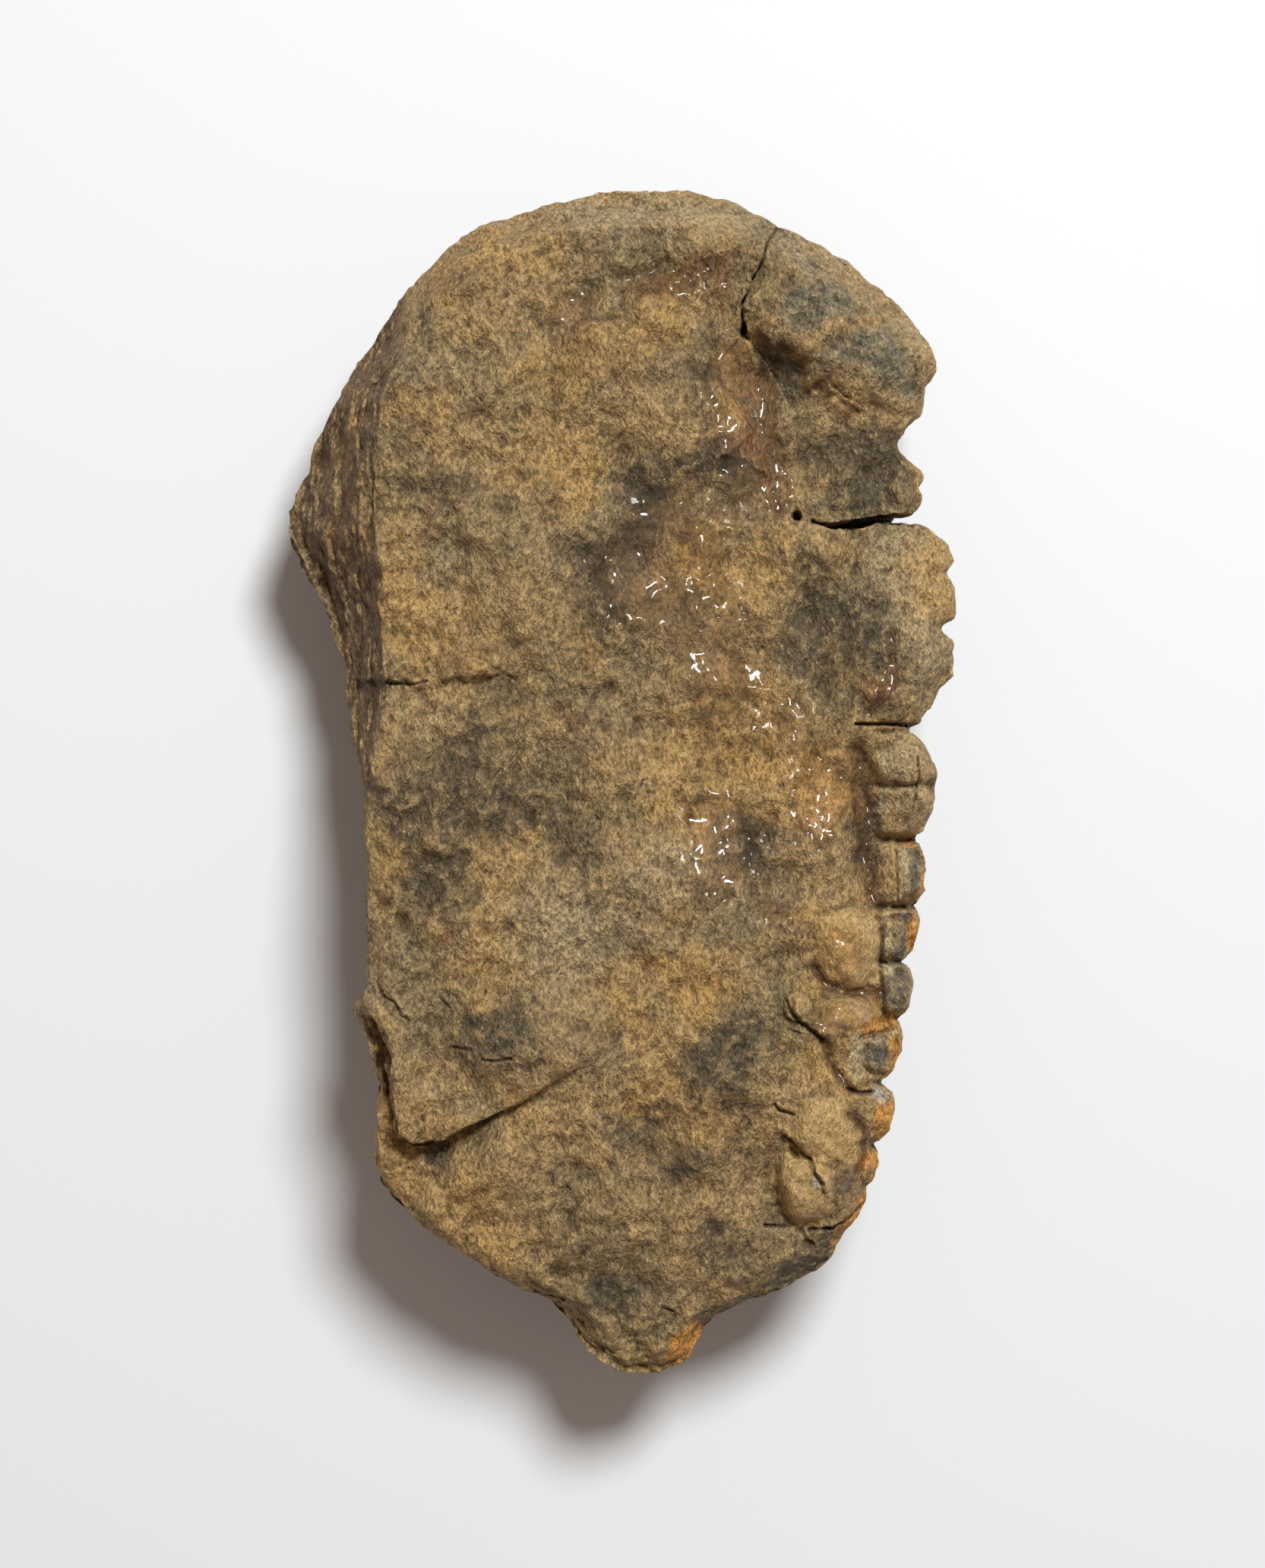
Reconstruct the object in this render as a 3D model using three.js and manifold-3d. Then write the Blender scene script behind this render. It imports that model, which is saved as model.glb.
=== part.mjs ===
// A large flexicalymene trilobite fossil, lying on its back: one stone, belly side up.
// Millimetres. +X is the specimen's right in plan, +Y points to the head, +Z is up.
// The origin is at the centre of the resting plane, under the middle of the plan outline.
import * as THREE from "three";
import { mergeVertices } from "three/addons/utils/BufferGeometryUtils.js";
import Module from "manifold-3d";

// Driving dimensions
const HEAD_TIP_Y = 55;
const TAIL_TIP_Y = -55;
const BELLY_LEVEL = 25.5;
const AXIS_RISE = 5.6;
const PLEURA_RISE = 13.5;
const CHEEK_RISE = 8.5;
const RESTING_CUT = 0.9;
const RING_FURROW = 2.1;
const RIB_FURROW = 1.0;
const AXIAL_FURROW = 0.9;
const OCCIPITAL_FURROW = 1.6;
const BORDER_FURROW = 1.2;
const BORDER_ROLL = 1.8;
const FLANK_DROP = 11.5;
const FLANK_SLOPE = 2.1;
const LEDGE_STEP = 2.4;
const CHEEK_RIM_RISE = 2.8;
const SLIT_WIDTH = 0.9;

// Where the belly turns down to the rim, as a share of the way out, and how far out the turn ends.
const SIDE_TURN = 0.88;
const END_TURN = 0.78;
const EDGE_ROUND = 0.985;

// Steps of the mesh along a ray: over the belly's face, round its turn, over the axis and the flank.
const FACE_STEPS = [0, 0.18, 0.36, 0.53, 0.7, 0.86];
const TURN_STEPS = [0, 0.3, 0.62, 1];
const AXIS_STEPS = [0, 0.4, 0.7, 0.9, 1];
const SIDE_STEPS = [0.1, 0.26, 0.42, 0.57, 0.71, 0.83, 0.92, 1];
const HEAD_LEVELS = 10;
const SEGMENT_STEPS = [0, 0.2, 0.5, 0.8];
const FRONT_RAYS = 30;
const TAIL_RAYS = 16;

// The spine of the mesh runs down the midline between these two points, and fans out round each end.
const FRONT_CENTRE_Y = 38;
const TAIL_CENTRE_Y = -48;
const MIDLINE = [[HEAD_TIP_Y, 0.2], [20, 0.6], [TAIL_TIP_Y, 2.6]];

// Each thoracic segment starts at a y, where the right edge has a notch at x, and bulges out from there.
const SEGMENTS = [
  [24.3, 26.4, 2.2],
  [19.4, 29.8, 1.4],
  [14.2, 29.6, 1.65],
  [8.8, 29.6, 0.4],
  [4.8, 26.7, 1.2],
  [-0.3, 29.2, 0.7],
  [-5.2, 27.5, 1.2],
  [-11.4, 27.0, 1.2],
  [-16.5, 26.2, 1.4],
  [-21.9, 25.5, 1.3],
  [-27.8, 24.0, 1.7],
  [-33.6, 23.4, 1.1],
  [-37.6, 22.5, 0.9],
];
const THORAX_FRONT_Y = SEGMENTS[0][0];
const THORAX_END = [-41.2, 20.9];
const TAIL_RIB_PITCH = 2.3;

// Plan outline. The front is one round sweep, the left side is a broken edge.
const FRONT_EDGE = [
  [-25.6, 38], [-23.5, 41.3], [-20.4, 45.4], [-14.2, 51], [-11, 52.1], [-5, 53.9], [0.8, 54.94],
  [7.4, 54.7], [10, 53.9], [13, 52.4], [20.1, 48.9], [23, 46.9], [26.7, 43.2], [28.6, 40.4], [29.1, 38],
];
const RIGHT_CHEEK_EDGE = [
  [38.2, 29.1], [36.5, 28.7], [33.4, 27.1], [31.7, 25.6], [30.6, 25.7], [29.2, 27.9], [26.5, 28.3],
  [24.3, 26.6],
];
const LEFT_EDGE = [
  [38, -25.6], [33.2, -28.2], [29, -29.9], [26, -31], [23.1, -31.3], [19.6, -29.4], [15.6, -27.4],
  [9.6, -25.8], [3.9, -24.7], [-0.6, -23.7], [-9, -23.5], [-18.8, -23.6], [-20.8, -24.4],
  [-24.1, -23.8], [-28.3, -22.1], [-31.4, -22.8], [-36.6, -22.4], [-40.8, -19.1], [-43.6, -14.4],
  [-46, -11], [-48.1, -6.9],
];
const TAIL_RIGHT_EDGE = [[-41.2, 20.9], [-43.9, 19.6], [-46, 17.2], [-47.9, 13.4], [-49.3, 9.4]];
const TAIL_EDGE = [
  [13.2, -48], [9.4, -49.4], [7.6, -50.8], [7, -52.8], [5.2, -54.3], [2.4, TAIL_TIP_Y], [-1.2, -54.3],
  [-3.7, -52.2], [-5.1, -49.8], [-6.9, -48],
];

// Half-width of the axis, of the glabella and of the tail axis, along Y.
const AXIS_HALF_WIDTH = [
  [38, 7.5], [36, 8.0], [34.4, 9.0], [32.2, 8.5], [30.2, 10.6], [28, 10.9], [26.6, 9.7],
  [24.3, 9.6], [10, 9.4], [-10, 8.2], [-30, 6.4], [-41.2, 5.0], [-48, 3.6],
];
const GLABELLA_REACH = 7.2;
const TAIL_AXIS_REACH = 4.2;

// Height of the back's lowest line above the ground, along Y: both ends curl upwards.
const KEEL = [
  [55, 8], [48, 5.2], [42, 1.9], [36, 0.3], [31, 0], [-20, 0], [-32, 1.3], [-42, 4.2], [-50, 7.2],
  [-55, 9],
];

// Lines on the belly side, each from head to tail or from left to right.
const LEFT_RIDGE = [
  [60, -12], [47.6, -15.6], [40.5, -18.6], [35.5, -22], [24.9, -22.4], [18.6, -21.7], [9.4, -21.6],
  [4.8, -22.4], [-0.6, -23.6],
];
const CHEEK_WALL = [
  [13.6, 50], [11.2, 44], [11.3, 41], [13, 38.3], [16.4, 34.4], [21.9, 32.4], [30, 31.2],
];
const LEDGE = [
  [-26, -20.4], [-22.6, -21.6], [-20.9, -25], [-20.4, -32.4], [-18.6, -33.3], [-16.6, -32.9],
  [-12.7, -30.9], [-8.1, -28.6], [-4.2, -26.1], [-1.5, -24.6],
];
const FLAKE_OUTER = [[0, -32], [-6, -40], [-14, -45.5], [-22, -43], [-27, -36], [-27.5, -27]];

// Belly relief: centre x and y, reach in x and y, height.
const BELLY_RELIEF = [
  [4, 45, 9, 3.6, -1.6],
  [-6, 38, 12, 8, 0.9],
  [0, 27, 8, 9, -0.9],
  [9, 12, 8, 12, -1.3],
  [15, -3, 6, 9, -1.2],
  [-13, 20, 7, 12, 0.7],
  [-11, 1, 8, 9, -0.8],
  [-4, -12, 8, 8, 0.7],
  [-12, -22, 8, 7, 0.8],
  [3, -32, 9, 8, 0.8],
  [19, 28, 4.5, 4, -2.4],
  [25.5, 16.5, 5, 8, 1.3],
  [20, 14, 2, 6, -0.9],
  [26, 0, 2.4, 4.4, 1.5],
  [22.6, -1, 1.4, 6, -1.0],
  [21, -14.6, 3, 3.6, 1.2],
  [20.6, -21.2, 4, 1.9, 1.2],
  [24.6, -14.2, 1.6, 2.2, 0.7],
  [17.6, -35.6, 3.2, 5.4, 1.0],
  [21.4, -31.6, 2.2, 3.2, 0.9],
  [-24.4, -25, 2.4, 4, -2.0],
];
const BELLY_SLOPES = { tailDrop: 4.6, rightDrop: 2.4, frontRoll: 5.5, tailRoll: 4.5, sideRoll: 1.6 };

// Where the slopes of the belly start and end, along X or Y, and the shares at which its rolls start.
const TAIL_DROP_SPAN = [-22, -56];
const RIGHT_DROP_SPAN = [12, 30];
const FRONT_ROLL_SPAN = [36, 46];
const TAIL_ROLL_SPAN = [-42, -50];
const ROLL_STARTS = { front: 0.72, tail: 0.6, side: 0.86 };
const FLANK_END_SPAN = [50, 40];
const CHEEK_TOP_SPAN = [49, 42];
const CHEEK_FOOT_SPAN = [30.4, 32.4];
const CHEEK_WALL_REACH = 3;
const CHEEK_SLOPE_REACH = 6;
const CHEEK_SLOPE_SPAN = [15.5, 19];
const SEGMENT_STRIP = { inner: 21, outer: 24, front: 6, back: 3 };

// Lumps of the back: distance from the midline, y, reach, height. The last one is the eye.
const BACK_LUMPS = [
  [8.4, 29, 2.3, 2.4],
  [7.6, 34.3, 1.8, 1.5],
  [6.4, 37.8, 1.3, 1.0],
  [15.6, 34.4, 3.1, 3.2],
];

// Spans of the back: where the head and the tail take over, and where the cheek's border lies.
const HEAD_SPAN = [24.4, 27.4];
const TAIL_SPAN = [-38, -50];
const OCCIPITAL_PLACE = { y: 26.8, reach: 0.8 };
const BORDER_PLACE = { furrow: 0.71, roll: 0.9, reach: 0.085 };
const AXIAL_REACH = { across: 0.16, out: 0.09 };
const AXIS_ROUNDING = 2.3;
const PLEURA_BEND = { start: 0.3, reach: 0.97 };
const TAIL_FADE = { rise: 0.5, rings: 0.5, ribs: 0.4, side: 0.8 };

// Cracks that run right through the rim, and the pit at the end of the first one.
const SLIT_BEHIND_CHEEK = [[16.8, 24.1], [19.4, 23.5], [22, 23.9], [24, 24.4], [30, 24.3]];
const SLIT_MID_BODY = [[22.2, 5.5], [25, 5.4], [31, 5.1]];
const CHEEK_CRACK = [[14.4, 51.2], [13.2, 48.2], [12.2, 46.2], [11.1, 43.6], [11.3, 40.9]];
const PIT = { x: 16.2, y: 24.5, radius: 1, floor: 19, sides: 7 };
const CRACK_FLOORS = { behindCheek: 12, midBody: 13, cheek: 23 };
const CRACK_WIDTHS = { behindCheek: SLIT_WIDTH, midBody: SLIT_WIDTH * 0.8, cheek: SLIT_WIDTH * 0.6 };
const CRACK_TAPER = 1.5;
const LEDGE_STEP_SPAN = [-1.5, -14];
const FLAKE_LIFT = 0.2;

const clamp01 = (v) => Math.min(1, Math.max(0, v));

function smooth(from, to, value) {
  const t = clamp01((value - from) / (to - from));
  return t * t * (3 - 2 * t);
}

// Value of a table of [position, value] pairs, whose positions fall, at one position.
function along(table, at) {
  if (at >= table[0][0]) return table[0][1];
  for (let i = 1; i < table.length; i++) {
    const [from, a] = table[i - 1];
    const [to, b] = table[i];
    if (at >= to) return a + ((b - a) * (from - at)) / (from - to);
  }
  return table[table.length - 1][1];
}

// A soft hill, 1 at its centre.
const hill = (dx, dy, reachX, reachY) => Math.exp(-((dx / reachX) ** 2) - (dy / reachY) ** 2);

// Distance from a point to a line of points, above zero on the left of the line's direction.
function sideOf(line, x, y) {
  let nearest = Infinity;
  let side = 1;
  for (let i = 1; i < line.length; i++) {
    const [ax, ay] = line[i - 1];
    const [bx, by] = line[i];
    const length2 = (bx - ax) ** 2 + (by - ay) ** 2;
    const t = clamp01(((x - ax) * (bx - ax) + (y - ay) * (by - ay)) / length2);
    const distance = Math.hypot(x - ax - t * (bx - ax), y - ay - t * (by - ay));
    if (distance < nearest) {
      nearest = distance;
      side = (bx - ax) * (y - ay) - (by - ay) * (x - ax) > 0 ? 1 : -1;
    }
  }
  return side * nearest;
}

const midline = (y) => along(MIDLINE, y);
const segmentEnd = (i) => (i + 1 < SEGMENTS.length ? SEGMENTS[i + 1] : THORAX_END);

// Right edge in plan at a y: a scallop for each segment, between two notches.
function rightEdge(y) {
  if (y >= THORAX_FRONT_Y) return along(RIGHT_CHEEK_EDGE, y);
  if (y <= THORAX_END[0]) return along(TAIL_RIGHT_EDGE, y);
  const i = SEGMENTS.findLastIndex(([start]) => y <= start);
  const [start, notch, bulge] = SEGMENTS[i];
  const [end, nextNotch] = segmentEnd(i);
  const t = (start - y) / (start - end);
  return notch + (nextNotch - notch) * t + bulge * Math.sqrt(Math.max(0, 1 - (2 * t - 1) ** 2));
}

// Where a place lies in its segment: 0 at its front furrow, 1 at the next one.
function segmentPhase(y) {
  if (y > THORAX_FRONT_Y) return 0.5;
  if (y < THORAX_END[0]) return ((THORAX_END[0] - y) / TAIL_RIB_PITCH) % 1;
  const i = SEGMENTS.findLastIndex(([start]) => y <= start);
  return (SEGMENTS[i][0] - y) / (SEGMENTS[i][0] - segmentEnd(i)[0]);
}

// Depth of the furrows between segments: full at a segment's edges, none over its swollen band.
function furrowDepth(y) {
  const phase = segmentPhase(y);
  return 1 - Math.sqrt(Math.max(0, 1 - (2 * phase - 1) ** 2));
}

// The belly side: the rock that fills the shell, broken and worn.
function bellyHeight(x, y, outward) {
  let z = BELLY_LEVEL;
  z -= BELLY_SLOPES.tailDrop * smooth(...TAIL_DROP_SPAN, y);
  z -= BELLY_SLOPES.rightDrop * smooth(...RIGHT_DROP_SPAN, x);
  for (const [cx, cy, reachX, reachY, height] of BELLY_RELIEF) {
    z += height * hill(x - cx, y - cy, reachX, reachY);
  }

  const gentle = smooth(...CHEEK_SLOPE_SPAN, x);
  const wallReach = CHEEK_WALL_REACH + (CHEEK_SLOPE_REACH - CHEEK_WALL_REACH) * gentle;
  const inCheek = smooth(...CHEEK_TOP_SPAN, y) * smooth(...CHEEK_FOOT_SPAN, y);
  z += CHEEK_RIM_RISE * inCheek * smooth(0, wallReach, sideOf(CHEEK_WALL, x, y));

  const ridge = along(LEFT_RIDGE, y);
  const flankReach = Math.max(0.1, ridge - along(LEFT_EDGE, y));
  const flankDrop = Math.min(FLANK_DROP, FLANK_SLOPE * flankReach) * smooth(...FLANK_END_SPAN, y);
  z -= flankDrop * clamp01((ridge - x) / flankReach) ** 0.8;

  const front = smooth(...FRONT_ROLL_SPAN, y);
  const tail = smooth(...TAIL_ROLL_SPAN, y);
  z -= BELLY_SLOPES.frontRoll * front * smooth(ROLL_STARTS.front, 1, outward) ** 1.5;
  z -= BELLY_SLOPES.tailRoll * tail * smooth(ROLL_STARTS.tail, 1, outward) ** 1.5;
  z -= BELLY_SLOPES.sideRoll * (1 - front) * (1 - tail) * smooth(ROLL_STARTS.side, 1, outward) ** 2;

  const { inner, outer, front: from, back: to } = SEGMENT_STRIP;
  z -= RIB_FURROW * smooth(inner, outer, x) * smooth(from, to, y) * furrowDepth(y);
  return z;
}

// The back, which the specimen lies on. Inside the axis, across runs from 0 at the midline to 1 at
// the axial furrow. Outside it, out runs from 0 at that furrow to 1 at the rim.
function backHeight(x, y, across, out) {
  const inHead = smooth(...HEAD_SPAN, y);
  const tail = smooth(...TAIL_SPAN, y);
  let z = along(KEEL, y) + AXIS_RISE * (1 - TAIL_FADE.rise * tail) * across ** AXIS_ROUNDING;
  const furrows = furrowDepth(y) * (1 - inHead);
  z += RING_FURROW * (1 - TAIL_FADE.rings * tail) * furrows * (1 - out);
  z += RIB_FURROW * (1 - TAIL_FADE.ribs * tail) * furrows * smooth(0, 0.12, out);
  z += OCCIPITAL_FURROW * hill(0, y - OCCIPITAL_PLACE.y, 1, OCCIPITAL_PLACE.reach);
  z += AXIAL_FURROW * hill(across - 1, out, AXIAL_REACH.across, AXIAL_REACH.out);
  if (out > 0) {
    const bend = PLEURA_BEND.reach * clamp01((out - PLEURA_BEND.start) / (1 - PLEURA_BEND.start));
    const side = 1 - Math.sqrt(1 - bend * bend);
    const flatter = Math.max(inHead, tail * TAIL_FADE.side);
    z += (PLEURA_RISE + (CHEEK_RISE - PLEURA_RISE) * flatter) * side;
    z += BORDER_FURROW * inHead * hill(0, out - BORDER_PLACE.furrow, 1, BORDER_PLACE.reach);
    z -= BORDER_ROLL * inHead * hill(0, out - BORDER_PLACE.roll, 1, BORDER_PLACE.reach);
  }
  const fromMidline = Math.abs(x - midline(y));
  for (const [distance, cy, reach, height] of BACK_LUMPS) {
    z -= height * hill(fromMidline - distance, y - cy, reach, reach);
  }
  return Math.max(0, z - RESTING_CUT);
}

// A ray runs from the spine to the rim, seen in plan. It knows how far out its axial furrow lies on
// the back, and at what share of its length the belly turns down to the rim.
function sideRay(y, edge) {
  const spine = [midline(y), y];
  const turn = edge < 0 ? (spine[0] - along(LEFT_RIDGE, y)) / (spine[0] - edge) : SIDE_TURN;
  return { spine, rim: [edge, y], furrow: along(AXIS_HALF_WIDTH, y), shoulder: Math.min(SIDE_TURN, turn) };
}

// Rays that fan out from one centre to a round edge.
function fan(centre, edge, count, sideReach, endReach) {
  const curve = new THREE.SplineCurve(edge.map(([x, y]) => new THREE.Vector2(x, y)));
  return curve.getSpacedPoints(count + 1).slice(1, -1).map((p) => {
    const angle = Math.atan2(p.y - centre[1], p.x - centre[0]);
    const furrow = 1 / Math.hypot(Math.cos(angle) / sideReach, Math.sin(angle) / endReach);
    return { spine: centre, rim: [p.x, p.y], furrow, shoulder: END_TURN };
  });
}

// Levels along Y at which rays leave the spine: even in the head, then four to a segment.
function levels() {
  const headPitch = (FRONT_CENTRE_Y - THORAX_FRONT_Y) / HEAD_LEVELS;
  const found = Array.from({ length: HEAD_LEVELS }, (_, i) => FRONT_CENTRE_Y - i * headPitch);
  SEGMENTS.forEach(([start], i) => {
    SEGMENT_STEPS.forEach((t) => found.push(start + (segmentEnd(i)[0] - start) * t));
  });
  for (let y = THORAX_END[0]; y > TAIL_CENTRE_Y; y -= TAIL_RIB_PITCH / 2) found.push(y);
  found.push(TAIL_CENTRE_Y);
  return found;
}

function allRays() {
  const frontCentre = [midline(FRONT_CENTRE_Y), FRONT_CENTRE_Y];
  const tailCentre = [midline(TAIL_CENTRE_Y), TAIL_CENTRE_Y];
  const sideReach = along(AXIS_HALF_WIDTH, FRONT_CENTRE_Y);
  const tailReach = along(AXIS_HALF_WIDTH, TAIL_CENTRE_Y);
  return [
    ...levels().map((y) => sideRay(y, rightEdge(y))),
    ...fan(tailCentre, TAIL_EDGE, TAIL_RAYS, tailReach, TAIL_AXIS_REACH),
    ...levels().reverse().map((y) => sideRay(y, along(LEFT_EDGE, y))),
    ...fan(frontCentre, FRONT_EDGE, FRONT_RAYS, sideReach, GLABELLA_REACH),
  ];
}

// The points of one ray from the middle of the belly, over the rim, to the middle of the back.
function section({ spine, rim, furrow, shoulder }) {
  const length = Math.hypot(rim[0] - spine[0], rim[1] - spine[1]);
  const at = (share) => [spine[0] + (rim[0] - spine[0]) * share, spine[1] + (rim[1] - spine[1]) * share];
  const shares = [
    ...FACE_STEPS.map((step) => step * shoulder),
    ...TURN_STEPS.map((step) => shoulder + (EDGE_ROUND - shoulder) * step),
  ];
  const belly = shares.map((share) => [...at(share), bellyHeight(...at(share), share)]);
  const axis = AXIS_STEPS.map((across) => {
    const [x, y] = at((across * furrow) / length);
    return [x, y, backHeight(x, y, across, 0)];
  });
  const side = SIDE_STEPS.map((out) => {
    const share = ((furrow + (length - furrow) * out) / length) * (out === 1 ? EDGE_ROUND : 1);
    const [x, y] = at(share);
    return [x, y, backHeight(x, y, 1, out)];
  });
  const top = belly[belly.length - 1];
  const bottom = side[side.length - 1];
  const edge = [...rim, (top[2] + bottom[2]) / 2];
  return [...belly, edge, ...side.reverse(), ...axis.reverse()];
}

// The closed surface: neighbouring sections joined by two triangles a step.
function shell() {
  const sections = allRays().map(section);
  const corners = [];
  const same = (a, b) => Math.hypot(a[0] - b[0], a[1] - b[1], a[2] - b[2]) < 1e-6;
  const triangle = (a, b, c) => {
    if (!same(a, b) && !same(b, c) && !same(a, c)) corners.push(...a, ...b, ...c);
  };
  sections.forEach((near, i) => {
    const far = sections[(i + 1) % sections.length];
    for (let k = 1; k < near.length; k++) {
      triangle(near[k - 1], far[k], near[k]);
      triangle(near[k - 1], far[k - 1], far[k]);
    }
  });
  return new THREE.BufferGeometry().setAttribute("position", new THREE.Float32BufferAttribute(corners, 3));
}

const manifold = await Module();
manifold.setup();

function solid(geometry) {
  const bare = new THREE.BufferGeometry().setAttribute("position", geometry.getAttribute("position"));
  if (geometry.index) bare.setIndex(geometry.index);
  const merged = mergeVertices(bare, 1e-4);
  const triVerts = new Uint32Array(merged.index.array);
  return new manifold.Manifold(
    new manifold.Mesh({ numProp: 3, vertProperties: merged.attributes.position.array, triVerts }),
  );
}

function geometryOf(made) {
  const { vertProperties, triVerts } = made.getMesh();
  return new THREE.BufferGeometry()
    .setAttribute("position", new THREE.BufferAttribute(vertProperties, 3))
    .setIndex(new THREE.BufferAttribute(triVerts, 1));
}

// A narrow wedge of air along a crack, from a floor height up past the belly. It starts as a point.
function crack(line, width, floor) {
  const sides = [1, -1].map((side) =>
    line.map(([x, y], i) => {
      const [ax, ay] = line[Math.max(0, i - 1)];
      const [bx, by] = line[Math.min(line.length - 1, i + 1)];
      const run = Math.hypot(bx - ax, by - ay);
      const half = (side * width * Math.min(1, i / CRACK_TAPER)) / 2;
      return new THREE.Vector2(x - ((by - ay) / run) * half, y + ((bx - ax) / run) * half);
    }),
  );
  const shape = new THREE.Shape([...sides[0], ...sides[1].slice(1).reverse()]);
  const cut = new THREE.ExtrudeGeometry(shape, { depth: BELLY_LEVEL * 2, bevelEnabled: false });
  return solid(cut.translate(0, 0, floor));
}

// The flake that broke away below the ledge: deepest along it, and level with the belly further out.
function brokenFlake() {
  const floorAt = (x, y) => bellyHeight(x, y, ROLL_STARTS.tail);
  const foot = LEDGE.map(([x, y]) => [x, y, floorAt(x, y) - LEDGE_STEP * smooth(...LEDGE_STEP_SPAN, x)]);
  const outer = FLAKE_OUTER.map(([x, y]) => [x, y, floorAt(x, y) + FLAKE_LIFT]);
  const bounds = [...foot, ...outer];
  const shape = new THREE.Shape(bounds.map(([x, y]) => new THREE.Vector2(x, y)));
  const air = new THREE.ExtrudeGeometry(shape, { depth: BELLY_LEVEL * 2, bevelEnabled: false });
  const place = air.getAttribute("position");
  for (let i = 0; i < place.count; i++) {
    if (place.getZ(i) > 0) continue;
    const corner = bounds.find(([x, y]) => Math.hypot(x - place.getX(i), y - place.getY(i)) < 1e-3);
    place.setZ(i, corner[2]);
  }
  return solid(air);
}

function pit({ x, y, radius, floor, sides }) {
  const hole = new THREE.CylinderGeometry(radius, radius / 2, BELLY_LEVEL, sides);
  return solid(hole.rotateX(Math.PI / 2).translate(x, y, floor + BELLY_LEVEL / 2));
}

function trilobiteFossil() {
  const cut = [
    crack(SLIT_BEHIND_CHEEK, CRACK_WIDTHS.behindCheek, CRACK_FLOORS.behindCheek),
    crack(SLIT_MID_BODY, CRACK_WIDTHS.midBody, CRACK_FLOORS.midBody),
    crack(CHEEK_CRACK, CRACK_WIDTHS.cheek, CRACK_FLOORS.cheek),
    brokenFlake(),
    pit(PIT),
  ].reduce((left, air) => left.subtract(air), solid(shell()));
  const stone = new THREE.MeshStandardMaterial({ color: 0x8c7346, roughness: 0.8, metalness: 0 });
  const mesh = new THREE.Mesh(geometryOf(cut), stone);
  mesh.geometry.computeVertexNormals();
  mesh.name = "trilobite_fossil";
  return mesh;
}

const fossil = new THREE.Group();
fossil.add(trilobiteFossil());

export default fossil;
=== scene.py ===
# A large trilobite fossil lying on its back: gritty ochre stone, cracked, flaked and glued.
import math

import bpy
import numpy as np
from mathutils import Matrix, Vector, noise


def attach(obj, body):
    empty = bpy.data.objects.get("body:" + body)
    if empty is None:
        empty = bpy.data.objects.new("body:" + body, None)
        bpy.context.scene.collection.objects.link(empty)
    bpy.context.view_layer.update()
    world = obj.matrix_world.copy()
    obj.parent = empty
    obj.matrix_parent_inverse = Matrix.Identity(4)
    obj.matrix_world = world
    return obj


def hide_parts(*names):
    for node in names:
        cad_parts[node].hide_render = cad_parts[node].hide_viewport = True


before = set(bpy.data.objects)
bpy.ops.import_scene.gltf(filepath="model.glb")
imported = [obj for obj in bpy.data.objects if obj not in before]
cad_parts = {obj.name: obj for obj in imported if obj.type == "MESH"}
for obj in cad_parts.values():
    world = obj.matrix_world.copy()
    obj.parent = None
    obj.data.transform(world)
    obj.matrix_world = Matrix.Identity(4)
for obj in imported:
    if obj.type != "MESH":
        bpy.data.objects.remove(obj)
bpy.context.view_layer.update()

# Sizes below are in millimetres, in the frame of the part, and become metres on the mesh.
MM = 0.001
NODE = "trilobite_fossil"
SKIN_VOXEL = 0.25
BELLY_TRIANGLES = 135_000
BACK_TRIANGLES = 55_000

# Points of the solid this close become one. Its facets are then worn down, this often and by this share.
WELD = 0.002
WEAR_ROUNDS = 18
WEAR_SHARE = 0.5

# The relief eases off above this level, and ends within this much more.
PEAK_LEVEL = 27.4
PEAK_ROOM = 1.1

# Roughness: height, size of the largest lumps, octaves, and an offset that sets each one apart.
SWELLS = (2.0, 11, 2, 3.1)
LUMPS = (1.1, 4.5, 3, 7.7)
GRIT = (0.4, 1.7, 4, 12.5)
GRIT_PATCHES = (1.0, 6, 2, 26.0)
FINE_GRAIN = (0.06, 0.6, 2, 31.0)
FLANK_STREAKS = (0.8, 2.4, 4, 5.5)
RAGGED_RIM = (0.3, 2.2, 4, 14.0)
BACK_WEAR = (0.16, 2.4, 4, 9.1)
BACK_SWELLS = (0.35, 9, 3, 2.2)
WANDER = (1.0, 1.3, 3, 21.0)

# Thin broken sheets: spacing, height of each edge, direction in degrees, and an offset.
FLAKES = (3.4, 0.4, -52, 1.3)
# Rounded crumbs: height and size.
CRUMBS = [(0.26, 1.5), (0.18, 0.8)]
# The share of the grit that is missing on the smooth pads, and where glue fills the pores.
PAD_CALM = 0.4
GLUE_CALM = 0.4
# The streaks of the left flank are this much finer along X, and this much longer along Y.
STREAK_STRETCH = (1.4, 0.4, 1.0)
RIB_SEAM_DEPTH = 0.9

# The back: the midline's x, and the half-width of the axis, at each y.
MIDLINE = ((-55, 20, 55), (2.6, 0.6, 0.2))
AXIS_HALF_WIDTH = ((-48, -41.2, -30, -10, 10, 24.3), (3.6, 5.0, 6.4, 8.2, 9.4, 9.6))
RIB_FURROW_DEPTH = 0.34
RING_FURROW_DEPTH = 0.35
AXIAL_FURROW_DEPTH = 0.3
GRANULE_SIZE = 0.85
GRANULE_HEIGHT = 0.1

# The frame that the camera takes in, at the height of the fossil's rim.
PICTURE_HEIGHT = 146.5
PICTURE_CENTRE = (1.1, -0.1)
RIM_LEVEL = 16.0
CAMERA_DISTANCE = 420.0
SENSOR_HEIGHT = 36

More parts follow.
